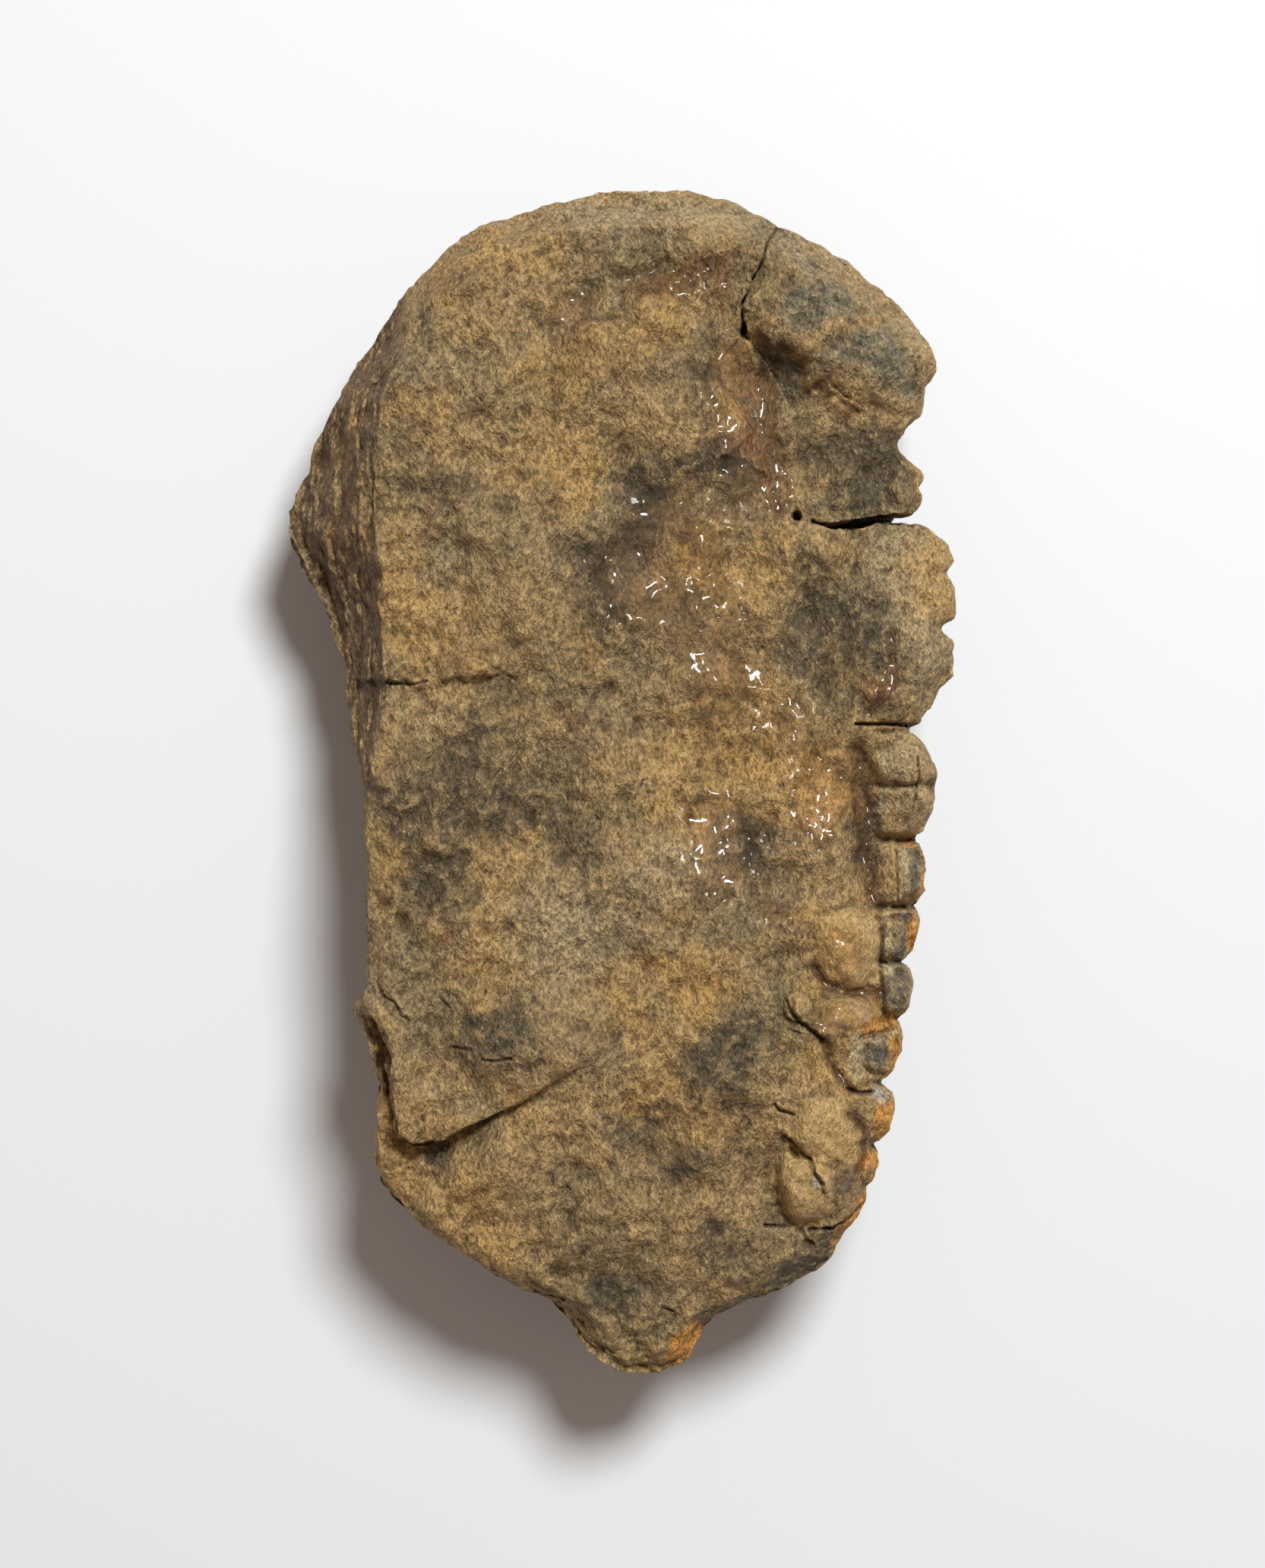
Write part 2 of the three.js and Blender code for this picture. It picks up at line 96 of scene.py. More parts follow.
# The lamp's place and size in metres, its power in watts, and the table and the glow of the room.
KEY_PLACE = (0.18, 0.35, 0.695)
KEY_SIZE = 0.23
KEY_POWER = 6.5
KEY_COLOUR = (0.995, 1.0, 0.995)
ROOM_COLOUR = (1.0, 0.77, 0.66, 1)
ROOM_STRENGTH = 0.25
TABLE_COLOUR = (231, 236, 239)
TABLE_WIDTH = 3

# Starts of the thoracic segments along Y, from head to tail, and the end of the last one.
SEGMENT_STARTS = [
    24.3, 19.4, 14.2, 8.8, 4.8, -0.3, -5.2, -11.4, -16.5, -21.9, -27.8, -33.6, -37.6, -41.2,
]

# Cracks of the belly side: points, width, and depth. The first of them lie along cuts of the solid.
CUTS_OF_SOLID = 3
CRACKS = [
    ([(14.6, 51.6), (13.4, 49.4), (13.0, 47.7), (12.2, 46.2), (11.1, 43.8), (11.2, 41.2)], 0.22, 0.9),
    ([(17.6, 24.0), (19.4, 23.5), (22.0, 23.9), (24.0, 24.4), (27.0, 24.3)], 0.35, 1.5),
    ([(21.6, 5.4), (25.0, 5.4), (28.0, 5.2)], 0.3, 1.2),
    ([(-21.4, 9.2), (-18.9, 9.0), (-17.7, 9.3)], 0.22, 0.5),
    ([(-11.8, 10.7), (-9.5, 9.4)], 0.18, 0.25),
    ([(-16.6, -19.6), (-15.6, -20.6)], 0.2, 0.3),
    ([(-15.5, -24.1), (-13.6, -24.4)], 0.2, 0.35),
    ([(-12.6, -25.2), (-11.5, -25.3), (-9.9, -25.1)], 0.22, 0.4),
    ([(-7.9, -47.1), (-5.2, -47.8)], 0.25, 0.4),
    ([(3.9, -48.4), (4.9, -48.8)], 0.2, 0.3),
    ([(17.3, 20.9), (20.5, 17.4)], 0.16, 0.15),
    ([(14.1, -29.3), (14.5, -29.9), (15.8, -30.3)], 0.28, 0.5),
    ([(15.3, -22.4), (16.4, -22.9)], 0.2, 0.3),
    ([(13.3, -40.8), (15.1, -40.8)], 0.3, 0.5),
    ([(17.4, -41.2), (19.6, -41.1), (20.7, -40.5), (22.9, -38.6)], 0.3, 0.6),
    ([(27.2, 2.4), (27.3, 0.9), (26.8, -2.6)], 0.2, 0.4),
    ([(25.4, -6.2), (25.5, -11.0)], 0.16, 0.3),
    ([(25.2, -11.4), (26.2, -11.5)], 0.4, 0.8),
    ([(20.8, -28.1), (22.0, -28.5), (23.3, -28.4)], 0.35, 0.8),
    ([(15.5, -32.6), (16.4, -33.5), (17.4, -34.5), (17.8, -35.7), (18.4, -36.6)], 0.24, 0.5),
    ([(15.1, -19.7), (15.6, -21.0), (16.6, -22.0), (18.5, -23.4)], 0.3, 0.6),
    ([(11.4, 40.9), (12.9, 39.3), (14.4, 37.2), (15.6, 34.6)], 0.16, 0.15),
    ([(19.2, 36.4), (20.6, 35.3), (22.2, 34.4)], 0.2, 0.25),
]

# Steps in the surface: points, how much the left of the line is higher, half the width of the rise,
# and how far the step reaches before it fades.
STEPS = [
    ([(11.8, 42.8), (13.8, 40.6), (16.2, 37.8), (18.6, 36.0), (20.8, 34.8)], 1.6, 1.6, 5.0),
    ([(11.0, 41.0), (13.2, 38.9), (15.0, 36.0), (16.1, 33.4), (16.2, 30.6)], -0.9, 0.3, 2.6),
    ([(-23.0, 9.5), (-18.9, 9.1), (-15.4, 9.1), (-12.4, 9.7)], 1.1, 0.45, 5.0),
    ([(-12.4, 9.7), (-9.0, 9.4), (-5.0, 8.2)], 0.5, 1.2, 4.0),
    ([(-17.2, -1.0), (-17.4, -6.9), (-16.2, -10.6)], 0.7, 0.8, 4.0),
    ([(-16.4, -10.6), (-13.6, -7.6), (-9.4, -4.0), (-4.0, -2.0)], -0.7, 0.9, 4.0),
    ([(-8.1, -28.6), (-4.2, -26.1), (-1.5, -24.6)], 0.5, 0.8, 4.0),
    ([(10.0, 29.8), (11.6, 29.3), (13.0, 28.4)], 0.6, 0.35, 1.6),
    ([(-1.5, -24.6), (3.0, -21.0), (8.0, -16.6)], 0.5, 1.4, 4.0),
    ([(-21.6, -26.0), (-20.6, -32.0), (-18.9, -33.2), (-16.6, -32.8), (-12.7, -30.9)], 1.7, 0.15, 3.0),
    ([(18.4, -36.8), (17.8, -35.7), (17.4, -34.5), (16.4, -33.5), (15.5, -32.6)], -0.8, 0.12, 2.4),
    ([(17.4, -42.0), (15.9, -40.6), (14.7, -38.6), (14.3, -35.4), (15.0, -33.0)], -0.8, 0.3, 2.0),
    ([(18.6, -23.4), (16.4, -21.9), (15.3, -21.3), (15.0, -19.9), (16.0, -19.1)], -0.8, 0.15, 1.6),
    ([(-21.4, -19.2), (-20.3, -20.4), (-19.6, -21.2)], 0.7, 0.12, 1.6),
    ([(-22.3, -21.9), (-21.4, -22.9), (-20.9, -24.6), (-20.7, -27.0)], 0.9, 0.15, 2.0),
    ([(-23.4, -21.4), (-22.6, -23.9), (-21.9, -27.7)], 0.6, 0.12, 1.2),
    ([(23.0, 29.8), (21.8, 27.8), (21.4, 25.4)], -0.6, 0.6, 2.4),
    ([(-6.6, 44.8), (-4.7, 43.2), (-2.6, 42.1), (0.4, 41.6)], -1.0, 0.6, 3.4),
    ([(12.6, 37.4), (12.2, 33.0), (9.6, 29.6)], -0.6, 0.7, 3.0),
    ([(15.6, 24.0), (16.0, 18.0), (17.6, 12.0), (18.4, 6.6)], -0.6, 0.9, 4.0),
    ([(-2.0, 46.4), (3.0, 47.6), (8.0, 48.2)], 0.7, 0.7, 3.0),
    ([(-1.5, 28.4), (4.0, 27.0), (8.6, 29.4)], 0.7, 0.6, 3.4),
]

# The edge of the flake on the lower left, which the solid has too.
LEDGE = [
    (-22.6, -21.6), (-20.9, -25.0), (-20.4, -32.4), (-18.6, -33.3), (-16.6, -32.9), (-12.7, -30.9),
    (-8.1, -28.6), (-4.2, -26.1), (-1.5, -24.6),
]

# Places on the rim that are pushed in, or out below zero: centre, reach, depth.
DENTS = [
    (28.2, 27.2, 0.55, 0.8), (26.6, 31.2, 0.8, 0.5), (28.7, 36.6, 0.9, 0.5), (27.6, 34.2, 0.8, -0.4),
    (29.3, 38.8, 0.9, -0.4), (28.6, 29.6, 0.6, -0.3), (30.8, 12.0, 0.6, 0.4), (30.9, 15.4, 0.8, -0.3),
    (-15.0, 52.0, 1.0, 0.3), (-24.2, -24.8, 1.0, 0.6), (-24.6, -20.6, 1.0, -0.5),
    (-8.0, -45.8, 0.8, 0.5), (-12.2, -43.0, 0.8, 0.3), (24.0, -38.0, 0.5, 0.4), (25.0, -33.6, 0.4, 0.5),
]

# Rounded pads that stand up: centre, half-lengths, turn in degrees, height, softness of the edge.
PADS = [
    (25.9, 14.4, 5.4, 8.9, 0, 0.5, 1.6),
    (25.8, -0.2, 3.1, 4.9, 0, 1.2, 2.0),
    (26.4, 27.6, 1.9, 2.2, 0, 0.7, 1.0),
    (20.9, -15.2, 3.0, 3.9, 0, 1.4, 1.8),
    (20.9, -21.0, 3.0, 1.5, 0, 0.8, 1.0),
    (16.4, -20.4, 0.9, 1.1, 15, 0.9, 0.4),
    (18.6, -31.8, 3.0, 3.2, -10, 1.0, 1.2),
    (17.1, -37.2, 2.5, 3.6, 10, 0.9, 1.2),
    (27.0, -8.6, 1.3, 2.3, 0, 0.6, 0.6),
    (27.2, -14.0, 0.9, 1.7, 0, 0.2, 0.8),
    (25.7, -15.3, 1.2, 2.2, 0, 0.5, 0.4),
    (25.6, -19.6, 1.7, 2.0, 0, 0.7, 0.6),
    (24.0, -25.0, 1.6, 1.8, 0, 0.8, 0.6),
    (24.2, -31.4, 1.1, 2.0, 0, 0.4, 0.8),
    (23.3, -36.0, 1.2, 1.6, 0, 0.4, 0.8),
]
SMOOTH_PADS = slice(3, 8)

# Soft grooves, brown and glossy with old glue: points, width, depth.
GROOVES = [
    ([(22.0, 3.0), (22.2, -3.0), (22.6, -8.0), (23.6, -11.0)], 1.2, 1.2),
    ([(24.9, 13.4), (24.9, 9.4), (23.0, 6.6)], 0.6, 0.5),
    ([(23.6, -12.4), (27.0, -12.3)], 0.35, 0.7),
    ([(25.8, -5.4), (27.9, -5.4)], 0.35, 0.8),
    ([(24.0, -12.8), (24.0, -17.5), (24.3, -21.2)], 0.25, 0.6),
    ([(17.6, -16.6), (18.8, -18.4), (21.0, -19.3), (24.0, -19.2)], 0.5, 0.8),
    ([(18.7, -23.5), (19.1, -25.4), (20.0, -26.8), (21.2, -28.2)], 0.5, 0.8),
    ([(22.0, -23.4), (25.7, -22.4)], 0.25, 0.4),
    ([(20.9, -30.3), (22.6, -32.0), (22.4, -34.6), (20.6, -37.6)], 0.5, 0.5),
    ([(12.6, 36.6), (12.8, 31.0), (14.6, 25.6)], 1.4, 0.5),
    ([(-22.2, -25.0), (-21.4, -28.4)], 0.45, 1.0),
]

# Stains, patches and glue: centre, reach in x and y, strength.
# Some of the dark stains are painted shade: on the cheek wall, on slopes that face away from the lamp, and
# in broad dips.
DARK_STAINS_AND_SHADE = [
    (-1.0, 17.5, 3.8, 5.6, 1.1), (2.6, 26.0, 2.2, 4.0, 1.0), (7.5, 38.0, 4.5, 4.5, 0.6),
    (8.5, 29.2, 5.0, 1.6, 0.8), (-16.0, 27.0, 5.0, 2.4, 0.55), (-18.0, 33.0, 2.0, 3.5, 0.45),
    (-11.0, 4.0, 4.5, 5.0, 0.6), (-15.0, -1.0, 3.0, 5.0, 0.65), (-17.0, -9.0, 3.4, 3.0, 1.1),
    (-9.5, -3.5, 5.0, 3.2, 0.65), (-3.0, -5.0, 3.0, 3.0, 0.4), (12.5, -5.5, 3.4, 3.0, 0.9),
    (-11.0, -23.0, 4.2, 1.9, 1.1), (11.0, -24.0, 3.0, 4.0, 1.0), (7.5, -26.0, 3.0, 2.0, 0.6),
    (0.0, -32.0, 3.2, 2.2, 0.7), (6.0, -35.0, 2.0, 3.0, 0.8), (-1.0, -27.5, 2.0, 1.5, 0.5),
    (0.0, -47.0, 2.8, 2.6, 1.0), (8.8, -42.5, 3.0, 2.5, 0.7), (-17.0, -35.0, 1.6, 2.6, 0.7),
    (-12.0, -34.0, 3.0, 1.6, 0.4), (20.0, 15.6, 3.6, 4.4, 0.7), (23.8, 12.6, 1.6, 2.6, 0.8),
    (16.0, 12.0, 3.0, 3.0, 0.5), (16.5, 20.0, 3.0, 3.0, 0.4), (23.6, 27.6, 3.2, 2.6, 1.5),
    (20.0, 31.0, 5.0, 2.0, 0.7), (20.0, 25.6, 5.0, 1.2, 0.7), (14.5, 39.0, 1.6, 3.0, 0.8),
    (-13.0, 46.0, 3.0, 3.0, 0.45), (22.5, -4.0, 1.1, 6.0, 0.8), (12.0, -30.0, 2.0, 3.0, 0.35),
    (20.0, -42.5, 2.5, 1.5, 0.8), (14.0, -46.0, 4.0, 1.5, 0.7), (21.9, -31.4, 0.7, 2.0, 0.7),
    (-19.6, 1.0, 3.0, 4.0, 0.5), (-20.0, -5.0, 2.0, 3.0, 0.4), (15.0, 37.6, 2.2, 3.0, 0.3),
    (12.0, 22.0, 3.0, 4.0, 0.35), (19.0, 9.0, 3.0, 3.0, 0.5),
]
BLUE_STAINS = [
    (18.0, 44.2, 3.2, 2.6, 1.1), (15.5, 43.0, 2.0, 1.6, 0.6), (22.0, 38.6, 4.6, 2.2, 1.0),
    (26.0, 36.5, 2.0, 1.6, 0.6),
]
# Pale patches: partly pale stone, partly painted light on broad rises.
PALE_PATCHES_AND_LIGHT = [
    (-5.0, -14.0, 7.0, 6.0, 0.8), (4.5, -7.5, 3.0, 3.4, 0.7), (26.4, 18.4, 3.8, 5.5, 1.2),
    (27.0, 10.5, 2.2, 3.0, 0.5), (26.0, 0.0, 2.6, 4.6, 0.9), (17.0, 48.0, 3.5, 2.2, 0.7),
    (26.4, 43.0, 2.0, 3.0, 0.7), (2.0, 52.4, 14.0, 3.0, 0.8), (-16.0, 20.0, 4.0, 6.0, 0.4),
    (-14.0, 38.0, 6.0, 4.0, 0.35), (-18.0, 6.5, 4.0, 3.0, 0.45), (-14.0, -29.0, 5.0, 2.2, 0.5),
    (24.6, -16.0, 0.7, 3.4, 0.8), (25.9, -8.6, 0.5, 2.4, 0.8),
]
YELLOW_PATCHES = [
    (6.5, -19.0, 2.4, 3.6, 1.0), (0.0, -19.8, 3.0, 1.6, 0.7), (3.0, -17.0, 4.0, 1.4, 0.6),
    (16.0, 0.0, 4.0, 4.0, 0.5), (13.0, 8.0, 3.0, 5.0, 0.5), (18.0, -16.0, 2.5, 5.0, 0.6),
    (-10.0, 12.0, 5.0, 3.0, 0.4), (-21.5, -8.0, 1.6, 7.0, 0.6), (-8.0, 30.0, 5.0, 8.0, 0.35),
    (6.0, 43.0, 5.0, 2.0, 0.4), (-17.0, -14.0, 2.0, 2.4, 0.5), (-14.0, -38.0, 7.0, 3.0, 0.4),
    (0.0, -38.0, 5.0, 4.0, 0.3), (21.0, -15.2, 2.2, 3.0, 0.7), (19.0, -30.4, 2.4, 2.0, 0.4),
    (5.0, 3.0, 6.0, 4.0, 0.35), (28.0, 18.6, 3.0, 5.0, 0.7), (26.8, 28.4, 1.4, 2.0, 0.6),
]
RUST_PATCHES = [
    (-25.3, 24.0, 1.8, 4.0, 1.0), (8.0, 46.6, 3.4, 2.2, 0.9), (2.0, 45.0, 2.4, 1.8, 0.7),
    (-3.0, 48.5, 2.0, 1.4, 0.5), (18.6, 36.6, 2.4, 1.6, 0.8), (12.0, 31.5, 2.0, 2.0, 0.8),
    (24.0, 8.6, 2.0, 2.6, 0.9), (17.0, 8.0, 2.4, 1.4, 0.5), (-16.2, -14.0, 0.8, 0.8, 1.0),
    (9.0, -42.4, 1.4, 1.4, 0.6), (20.8, -20.2, 3.2, 0.9, 0.8), (14.0, 42.5, 1.0, 2.0, 0.5),
    (-5.0, -24.0, 2.0, 1.4, 0.4), (-23.5, 14.0, 0.8, 8.0, 0.5),
]
GLUE_SPOTS = [
    (0.0, 19.0, 4.0, 6.0, 0.9), (5.5, 23.0, 4.5, 8.0, 0.8), (9.0, 11.0, 4.0, 8.0, 0.9),
    (10.5, 36.0, 3.0, 6.0, 1.1), (13.0, 29.0, 3.0, 4.0, 0.7), (8.4, -6.0, 2.8, 3.8, 2.2),
    (13.0, -5.0, 3.0, 3.0, 0.6), (18.6, -2.0, 2.6, 4.4, 1.3), (13.5, -12.6, 1.8, 1.8, 0.8),
    (20.9, -15.2, 3.0, 3.8, 1.0), (20.6, -21.6, 4.2, 2.2, 1.0), (-4.6, 43.6, 3.2, 1.8, 1.1),
    (4.0, 45.6, 7.0, 2.4, 0.8), (24.4, 9.4, 1.8, 3.0, 0.6), (16.0, 6.0, 4.0, 6.0, 0.6),
    (-12.0, 24.0, 4.0, 5.0, 0.3), (18.5, -32.5, 3.2, 5.0, 0.4),
]
# The glued spots lean towards the head's right: how much they fall per millimetre in X and in Y.
GLUE_FALL = (0.11, 0.2)
# Orange rinds and dark grey cores where the ends of the ribs broke off: as pads, without a height.
RINDS = [
    (27.3, -14.0, 0.9, 1.7, 0), (24.0, -22.1, 1.9, 0.7, 14), (25.3, -25.0, 0.6, 2.0, 10),
    (24.5, -31.4, 1.0, 2.2, 0), (23.9, -36.4, 0.8, 1.8, 15), (23.0, -38.6, 0.8, 1.6, -30),
    (21.2, -40.8, 0.7, 1.3, -45), (20.0, -43.0, 0.6, 0.6, 0), (6.0, -52.2, 1.4, 2.5, -38),
    (28.0, -9.6, 0.4, 1.6, 0), (26.7, -5.4, 0.5, 0.4, 0), (22.9, -34.8, 0.9, 0.6, 30),
]
CORES = [
    (27.1, -8.2, 0.9, 1.9, 0), (25.8, -15.6, 0.7, 2.4, 0), (25.6, -19.4, 1.5, 1.9, 0),
    (23.7, -24.7, 1.4, 1.5, 0), (26.4, -12.4, 0.9, 0.5, 0),
]
PALE_STRIPS = [
    (26.1, -8.6, 0.35, 2.4, 0), (24.6, -15.2, 0.35, 2.4, 0), (21.7, -25.2, 0.7, 2.0, -8),
    (24.0, -23.4, 1.7, 0.25, 14), (24.2, 0.0, 0.4, 4.0, 0),
]
WHITE_GLUE = [(23.9, -28.6, 0.9, 0.5, -20), (18.1, -36.4, 0.4, 0.7, 35)]
# How far the edges of the stains wander.
STAIN_WANDER = 1.8
# Pits and furrows are found by evening out the skin this often, and are painted this strongly. The pits
# get painted shade with some dirt and the crests between them a painted highlight; the furrows of the back
# get clay.
PIT_ROUNDS = 3
PIT_GAIN = 6
FURROW_ROUNDS = 30
FURROW_GAIN = 1.5

# The stone's colours, from 0 to 255. Blotches of weathering, with their strength, lie over the first one.
STONE_COLOUR = (170, 142, 96)
WEATHERED = [
    ("Grey", 0.6, (130, 118, 90)),
    ("Olive", 0.55, (112, 104, 74)),
    ("Ochre", 0.5, (190, 150, 84)),
    ("Brown", 0.5, (114, 86, 54)),
]
# Painted masks whose edge frays along the grain: strength and colour.
FRAYED = [
    # Pale patches, partly painted light.
    ("pale", 0.65, (176, 158, 122)),
    ("yellow", 0.55, (196, 154, 84)),
    ("rust", 0.6, (120, 76, 40)),
    # Dark stains, partly painted shade.
    ("stain_and_shade", 0.86, (86, 78, 60)),
    ("blue_stain", 0.8, (100, 102, 88)),
]
# Painted masks that stay as they are: strength and colour.
PAINTED = [
    ("smooth_pad", 0.5, (206, 172, 112)),
    ("seam", 0.6, (112, 80, 46)),
    # The left flank's dark colour is partly the broken stone's own and partly painted shade of the side
    # that faces away from the lamp.
    ("flank", 0.72, (90, 66, 47)),
    ("tail_band", 0.7, (90, 78, 60)),
    ("core", 0.9, (96, 93, 82)),
    ("rind", 0.9, (200, 138, 56)),
    ("pale_strip", 0.8, (192, 178, 138)),
]
SHELL_COLOUR = (92, 78, 60)
CLAY_COLOUR = (168, 134, 84)
PIT_COLOUR = (62, 48, 33)
BRIGHT_GRAIN_COLOUR = (222, 194, 144)
# Painted shade with some dirt in the hollows, and a painted highlight on the crests.
HOLLOW_SHADE_AND_DIRT_COLOUR = (66, 51, 34)
CREST_HIGHLIGHT_COLOUR = (204, 172, 118)
# Painted shade along the cracks.
CRACK_SHADE_COLOUR = (46, 35, 24)
WHITE_GLUE_COLOUR = (190, 184, 172)
WET_TINT = (206, 172, 122)
# How strongly single grains differ in tone, the mean of the tone, and the depth of the finest grain.
GRAIN_CONTRAST = 0.9
STONE_TONE = 0.98
GRAIN_DEPTH = 1.3


def smooth(low, high, value):
    """0 at low, 1 at high, eased between them."""
    t = np.clip((value - low) / (high - low), 0, 1)
    return t * t * (3 - 2 * t)


def hills(p, patches):
    """The sum of soft round patches at each point."""
    total = np.zeros(len(p))
    for x, y, reach_x, reach_y, strength in patches:
        total += strength * np.exp(-(((p[:, 0] - x) / reach_x) ** 2) - ((p[:, 1] - y) / reach_y) ** 2)
    return total


def from_line(p, line):
    """Plan distance of each point to a line of points, and on which side it lies: 1 is left."""
    nearest = np.full(len(p), np.inf)
    side = np.ones(len(p))
    for (ax, ay), (bx, by) in zip(line, line[1:]):
        run = np.array([bx - ax, by - ay])
        away = p[:, :2] - (ax, ay)
        t = np.clip(away @ run / (run @ run), 0, 1)
        distance = np.hypot(away[:, 0] - t * run[0], away[:, 1] - t * run[1])
        closer = distance < nearest
        nearest[closer] = distance[closer]
        side[closer] = np.sign(run[0] * away[:, 1] - run[1] * away[:, 0])[closer]
    return nearest, side


def past_ends(p, line):
    """How far each point lies beyond either end of a line of points."""
    beyond = np.zeros(len(p))
    for end, before in ((line[0], line[1]), (line[-1], line[-2])):
        run = np.subtract(end, before)
        beyond = np.maximum(beyond, (p[:, :2] - end) @ (run / np.hypot(*run)))
    return beyond


def rough(p, size, octaves, offset):
    """Fractal noise about zero at each point, whose largest lumps have this size."""
    shift = Vector((offset, offset * 0.7, -offset))
    return np.array([noise.fractal(Vector(q) / size + shift, 1.0, 2.0, octaves) for q in p])


def layer_of(p, roughness):
    """One of the named layers of roughness, at each point."""
    height, size, octaves, offset = roughness
    return height * rough(p, size, octaves, offset)


def select_only(piece):
    bpy.ops.object.select_all(action="DESELECT")
    piece.select_set(True)
    bpy.context.view_layer.objects.active = piece


def apply(piece, name, kind, **settings):
    """Adds a modifier with these settings and applies it."""
    modifier = piece.modifiers.new(name, kind)
    for key, value in settings.items():
        setattr(modifier, key, value)
    select_only(piece)
    bpy.ops.object.modifier_apply(modifier=name)


def points_of(piece):
    found = np.empty(len(piece.data.vertices) * 3, np.float32)
    piece.data.vertices.foreach_get("co", found)
    return found.reshape(-1, 3).astype(float) / MM


def place_points(piece, p):
    piece.data.vertices.foreach_set("co", (p * MM).astype(np.float32).ravel())
    piece.data.update()


def normals_of(piece):
    found = np.empty(len(piece.data.vertices) * 3, np.float32)
    piece.data.vertex_normals.foreach_get("vector", found)
    return found.reshape(-1, 3).astype(float)


def fossil_block():
    """The CAD solid's form as one even, dense skin, its facets rounded away."""
    piece = bpy.data.objects.new("fossil_skin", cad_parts[NODE].data.copy())
    bpy.context.scene.collection.objects.link(piece)
    piece.data.materials.clear()
    select_only(piece)
    bpy.ops.object.mode_set(mode="EDIT")
    bpy.ops.mesh.select_all(action="SELECT")
    bpy.ops.mesh.remove_doubles(threshold=WELD * MM)
    bpy.ops.object.mode_set(mode="OBJECT")
    apply(piece, "Even skin", "REMESH", mode="VOXEL", voxel_size=SKIN_VOXEL * MM)
    soften(piece)
    refine(piece)
    return piece


def soften(piece):
    """Rounds the facets, but not the slits, the ledge and the resting faces."""
    p = points_of(piece)
    kept = smooth(1.6, 0.6, np.abs(p[:, 2]))
    for line, width, _ in CRACKS[:CUTS_OF_SOLID]:
        kept = np.maximum(kept, smooth(width + 1.2, width + 0.4, from_line(p, line)[0]))
    kept = np.maximum(kept, smooth(1.4, 0.5, from_line(p, LEDGE)[0]) * smooth(15, 18, p[:, 2]))
    group = piece.vertex_groups.new(name="facets")
    for index, weight in enumerate(1 - kept):
        group.add([index], float(weight), "REPLACE")
    apply(piece, "Worn", "SMOOTH", factor=WEAR_SHARE, iterations=WEAR_ROUNDS, vertex_group="facets")
    piece.vertex_groups.clear()


def select_faces(piece, chosen):
    """Opens the piece for editing with only these faces selected."""
    select_only(piece)
    bpy.ops.object.mode_set(mode="EDIT")
    bpy.ops.mesh.select_mode(type="FACE")
    bpy.ops.mesh.select_all(action="DESELECT")
    bpy.ops.object.mode_set(mode="OBJECT")
    piece.data.polygons.foreach_set("select", chosen)
    bpy.ops.object.mode_set(mode="EDIT")


def face_centres(piece):
    found = np.empty(len(piece.data.polygons) * 3, np.float32)
    piece.data.polygons.foreach_get("center", found)
    facing = np.empty(len(piece.data.polygons) * 3, np.float32)
    piece.data.polygons.foreach_get("normal", facing)
    return found.reshape(-1, 3).astype(float) / MM, facing.reshape(-1, 3).astype(float)


def refine(piece):
    """Smaller faces along the cracks and the sharp steps."""
    centres, facing = face_centres(piece)
    near = np.zeros(len(centres), bool)
    for line, width, _ in CRACKS:
        near |= from_line(centres, line)[0] < width + 0.35
    for line, _, half_width, _ in STEPS:
        if half_width < 0.4:
            near |= from_line(centres, line)[0] < 0.6
    select_faces(piece, near & (facing[:, 2] > 0.2))
    bpy.ops.mesh.subdivide(number_cuts=1)
    bpy.ops.object.mode_set(mode="OBJECT")


def thin_out(piece, belly, allowed):
    """Fewer triangles on the belly side or on the back."""
    _, facing = face_centres(piece)
    chosen = (facing[:, 2] >= 0.1) == belly
    corners = np.empty(len(chosen), np.int32)
    piece.data.polygons.foreach_get("loop_total", corners)
    triangles = (corners[chosen] - 2).sum()
    select_faces(piece, chosen)
    bpy.ops.mesh.decimate(ratio=min(1.0, allowed / triangles))
    bpy.ops.object.mode_set(mode="OBJECT")


def flaked(p, spacing, step, turn, offset):
    """Thin sheets that broke off in one direction: gentle rises that end in small ragged edges."""
    c, s = math.cos(math.radians(turn)), math.sin(math.radians(turn))
    level = (p[:, 0] * c + p[:, 1] * s) / spacing + 1.4 * rough(p, 5, 4, offset)
    part = level - np.floor(level)
    patchy = smooth(-0.05, 0.3, rough(p, 7, 2, offset + 8))
    return step * patchy * (smooth(0.85, 1, part) - part)


def crumbs(p, size):
    """Rounded lumps with creases between them."""
    return np.array([0.5 - noise.voronoi(Vector(q) / size)[0][0] for q in p])


def pad_edge(p, x, y, half_x, half_y, turn):
    """Distance inwards from the edge of a round pad, below zero outside it."""
    c, s = math.cos(math.radians(turn)), math.sin(math.radians(turn))
    u = ((p[:, 0] - x) * c + (p[:, 1] - y) * s) / half_x
    v = (-(p[:, 0] - x) * s + (p[:, 1] - y) * c) / half_y
    reach = (np.abs(u) ** 2.6 + np.abs(v) ** 2.6) ** (1 / 2.6)
    return (1 - reach) * min(half_x, half_y)


